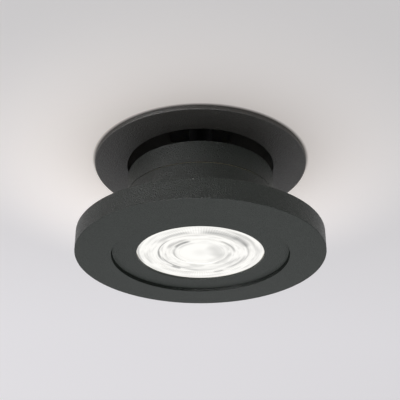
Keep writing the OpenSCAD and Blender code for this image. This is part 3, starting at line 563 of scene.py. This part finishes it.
def head_lead():
    """The low-voltage lead, in one length from the stem's top to the LED board."""
    low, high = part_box("lead_in_stem")
    tip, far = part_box("lead_in_head")
    radius, pivot, top = high[0] / MM, low[2] / MM, high[2] / MM
    hole, run = far[1] / MM - radius, pivot - LEAD_BEND
    quarter = [math.radians(a) for a in range(0, 91, BEND_TURN)]
    route = [(0, 0, top + (pivot - top) * i / STEM_RINGS) for i in range(STEM_RINGS)]
    route += [(0, LEAD_BEND * (1 - math.cos(a)), pivot - LEAD_BEND * math.sin(a)) for a in quarter]
    straight = hole - 2 * LEAD_BEND
    route += [(0, LEAD_BEND + straight * i / RUN_RINGS, run) for i in range(1, RUN_RINGS)]
    corner_y, corner_z = hole - LEAD_BEND, run - LEAD_BEND
    route += [(0, corner_y + LEAD_BEND * math.sin(a), corner_z + LEAD_BEND * math.cos(a)) for a in quarter]
    route.append((0, hole, tip[2] / MM))
    piece = wire("head_lead", route, radius, sleeve, sides=24)
    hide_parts("lead_in_stem", "lead_in_head")
    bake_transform(piece)


head_lead()


# Lens: heights and its rim's radius in mm. Its face is stepped in rings, with flutes in one of them.
LENS_FACE, LENS_FLANGE, LENS_SEAT, LENS_RIM_R = -41.1, -40.3, -38.9, 27.2
# (share of the radius, height against the face in mm)
LENS_RINGS = [
    (1.0, -0.12), (0.985, -0.14), (0.87, -0.2), (0.855, 0.0), (0.81, -0.05), (0.80, -0.28), (0.68, -0.4),
    (0.665, -0.1), (0.60, -0.2), (0.57, -0.3), (0.50, -0.3), (0.49, 0.1), (0.44, 0.2), (0.43, 0.0),
    (0.36, -0.1), (0.345, 0.05), (0.33, -0.1), (0.20, -0.05), (0.10, 0.0), (0.0, 0.02),
]
FLUTES_FROM, FLUTES_TO, FLUTE_DEPTH = 0.67, 0.795, 0.08  # shares of the radius, and mm
LED_WELL_R, LED_WELL_DEPTH = (5.4, 5.8), 3  # the pocket over the LED, which widens towards it
CONE_R = (7.2, 22.4)  # behind the face, at its back and at its seat


def lens_optic():
    """The moulded optic: a stepped face with flutes, a cone behind it and a flange that the bezel holds."""
    low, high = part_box("lens")
    back = high[2] / MM
    well = back - LED_WELL_DEPTH
    outline = [(0, well), (LED_WELL_R[0], well), (LED_WELL_R[1], back), (CONE_R[0], back)]
    outline += [(CONE_R[1], LENS_SEAT), (LENS_RIM_R, LENS_SEAT)]
    outline += [(LENS_RIM_R, LENS_FLANGE), (LENS_R, LENS_FLANGE)]
    outline += [(LENS_R * share, LENS_FACE + depth) for share, depth in LENS_RINGS]

    def flutes(radius, i):
        """Every second corner stands back, in the ring of flutes."""
        return FLUTE_DEPTH * (i % 2) if FLUTES_FROM < radius / LENS_R < FLUTES_TO else 0

    piece = turned("lens_optic", outline, optic, steps=2 * TICKS, lift=flutes)
    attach(piece, "head")
    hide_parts("lens")


lens_optic()


# ---- Soffit: the pale ceiling that the light hangs in, with its cut-out ----

SOFFIT_REACH = 700  # mm, from the middle to each side
SOFFIT_Z = 0.02  # mm, just clear of the flange's back
CUT_OUT_R = 35  # mm, a 70 mm hole saw
CUT_OUT_STEPS = 96  # corners round it
DAYLIGHT_SLANT = -0.12  # how much X counts against Y in the painted fall-off of the light
DAYLIGHT_FROM, DAYLIGHT_TO = -170, 240  # mm along that slant
DAYLIGHT_FADE = -0.21  # painted fall-off of the light per metre to the right
SHADOW_FROM, SHADOW_TO, SHADOW_LIGHT = 44.3, 46.0, 0.2  # mm from the axis, and the light that the painted shadow leaves at the flange
SHADOW_SHIFT = 0.2  # mm, from the axis to the shadow's middle, towards the front
GLOW_FROM, GLOW_TO, GLOW_LIGHT = 40, 120, 0.30  # mm from the axis, and the painted glow's strength at the flange
GLOW_RIGHT, GLOW_BACK = -2.6, 4.5  # how the painted glow changes per metre


def soffit_paint_and_painted_light():
    """Matt white ceiling paint with painted light on it: a painted fall-off of the daylight, the flange's
    painted shadow and a painted warm glow round the flange.

    From above it lets the view through, so that the can shows.
    """
    material, tree, shader, place = new_material("pale_painted_soffit")
    parts = add(tree, "ShaderNodeSeparateXYZ", {"Vector": place})
    x, y = parts.outputs["X"], parts.outputs["Y"]
    # Painted light fall-off: the paint is darker towards the front, and a little so towards the right
    slant = sloped(tree, y, x, DAYLIGHT_SLANT)
    paint_with_painted_falloff = between(tree, eased(tree, slant, DAYLIGHT_FROM * MM, DAYLIGHT_TO * MM), "#dddcda", "#f2f1f2")
    # A painted contact shadow where the flange meets the soffit
    shift = (0, -SHADOW_SHIFT * MM, 0)
    edge = add(tree, "ShaderNodeVectorMath", {0: place, 1: shift}, operation="DISTANCE").outputs["Value"]
    shaded = eased(tree, edge, SHADOW_FROM * MM, SHADOW_TO * MM, SHADOW_LIGHT, 1.0)
    # Painted light: darker towards the right, as if the daylight came from the left, and darker in the
    # painted shadow
    painted_light_share = share_of(tree, sloped(tree, 1.0, x, DAYLIGHT_FADE), shaded)
    dimmed = add(tree, "ShaderNodeVectorMath", {0: paint_with_painted_falloff, "Scale": painted_light_share}, operation="SCALE")
    tree.links.new(dimmed.outputs["Vector"], shader.inputs["Base Color"])
    # Painted light: the soffit itself gives off a faint warm glow round the flange, most towards the left and
    # the back
    distance = add(tree, "ShaderNodeVectorMath", {0: place}, operation="LENGTH").outputs["Value"]
    painted_glow_falloff = eased(tree, distance, GLOW_FROM * MM, GLOW_TO * MM, GLOW_LIGHT, 0.0)
    lean = sloped(tree, sloped(tree, 1.0, x, GLOW_RIGHT), y, GLOW_BACK)
    shader.inputs["Emission Color"].default_value = linear("#fff2e6")
    glow = share_of(tree, share_of(tree, painted_glow_falloff, lean), shaded)
    tree.links.new(glow, shader.inputs["Emission Strength"])
    shader.inputs["Roughness"].default_value = 0.9
    shader.inputs["Specular IOR Level"].default_value = 0.1
    clear = add(tree, "ShaderNodeBsdfTransparent").outputs["BSDF"]
    above = add(tree, "ShaderNodeNewGeometry").outputs["Backfacing"]
    seen = add(tree, "ShaderNodeMixShader", {0: above, 1: shader.outputs["BSDF"], 2: clear})
    output = next(n for n in tree.nodes if n.type == "OUTPUT_MATERIAL")
    tree.links.new(seen.outputs["Shader"], output.inputs["Surface"])
    return material


def soffit():
    """A flat ceiling with a round hole."""
    shape = bmesh.new()
    hole, rim = [], []
    for i in range(CUT_OUT_STEPS):
        turn = 2 * math.pi * i / CUT_OUT_STEPS
        x, y = math.cos(turn), math.sin(turn)
        out = SOFFIT_REACH / max(abs(x), abs(y))
        hole.append(shape.verts.new(Vector((CUT_OUT_R * x, CUT_OUT_R * y, SOFFIT_Z)) * MM))
        rim.append(shape.verts.new(Vector((out * x, out * y, SOFFIT_Z)) * MM))
    for i in range(CUT_OUT_STEPS):
        k = (i + 1) % CUT_OUT_STEPS
        shape.faces.new((hole[i], hole[k], rim[k], rim[i]))
    mesh = bpy.data.meshes.new("soffit")
    shape.to_mesh(mesh)
    shape.free()
    mesh.materials.append(soffit_paint_and_painted_light())
    panel = bpy.data.objects.new("soffit", mesh)
    bpy.context.scene.collection.objects.link(panel)


soffit()


# ---- Light: soft daylight from below, a little more from the left ----

# Strength of the room's light, and the heights of the directions that it runs between (-1 is straight down)
FLOOR_LIGHT, HORIZON_LIGHT, HORIZON = 1.42, 0.1, -0.12
LOFT_LIGHT, LOFT_FROM = 2.4, 0.55
ROOM_LEVEL, ROOM_BACK = 0.90, 0.36  # the room's light is this, and so much more towards the back


def daylight():
    """The room's light: bright straight below and dim at the horizon. From above it lights only the can."""
    world = bpy.data.worlds.new("daylight")
    world.use_nodes = True
    tree = world.node_tree
    tree.nodes.clear()
    way = add(tree, "ShaderNodeTexCoord")
    parts = add(tree, "ShaderNodeSeparateXYZ", {"Vector": way.outputs["Generated"]})

    def by_height(least, most, low, high):
        """The strength while a direction's height goes from least to most."""
        span = {"From Min": least, "From Max": most, "To Min": low, "To Max": high}
        return add(tree, "ShaderNodeMapRange", {"Value": parts.outputs["Z"], **span}).outputs["Result"]

    below = by_height(-1.0, HORIZON, FLOOR_LIGHT, HORIZON_LIGHT)
    above = by_height(LOFT_FROM, 1.0, 0.0, LOFT_LIGHT)
    lean = sloped(tree, ROOM_LEVEL, parts.outputs["Y"], ROOM_BACK)
    level = sloped(tree, above, below, lean)
    sky = add(tree, "ShaderNodeBackground", {"Color": linear("#fdfcff"), "Strength": level})
    add(tree, "ShaderNodeOutputWorld", {"Surface": sky.outputs["Background"]})
    bpy.context.scene.world = world


def soft_light(name, at, width, height, power, gloss):
    """A white soft light at a place in mm, aimed at the lamp: for gloss alone, or for all but gloss."""
    lamp = bpy.data.lights.new(name, "AREA")
    lamp.shape = "RECTANGLE"
    lamp.size = width * MM
    lamp.size_y = height * MM
    lamp.energy = power
    holder = bpy.data.objects.new(name, lamp)
    holder.location = Vector(at) * MM
    holder.rotation_euler = (-Vector(at)).to_track_quat("-Z", "Y").to_euler()
    holder.visible_diffuse = not gloss
    holder.visible_glossy = gloss
    bpy.context.scene.collection.objects.link(holder)


daylight()
soft_light("window_left", (-810, -935, -230), width=160, height=160, power=12.5, gloss=True)
soft_light("window_low", (-330, -560, -1000), width=240, height=240, power=4, gloss=True)
# Above the soffit, for the can alone. They are narrow and in line with Y, so that they don't shine into the
# clips' slots.
soft_light("loft_front", (0, -900, 500), width=260, height=900, power=8, gloss=False)
soft_light("loft_back", (0, 900, 500), width=260, height=900, power=8, gloss=False)

bpy.context.scene.view_settings.view_transform = "Standard"
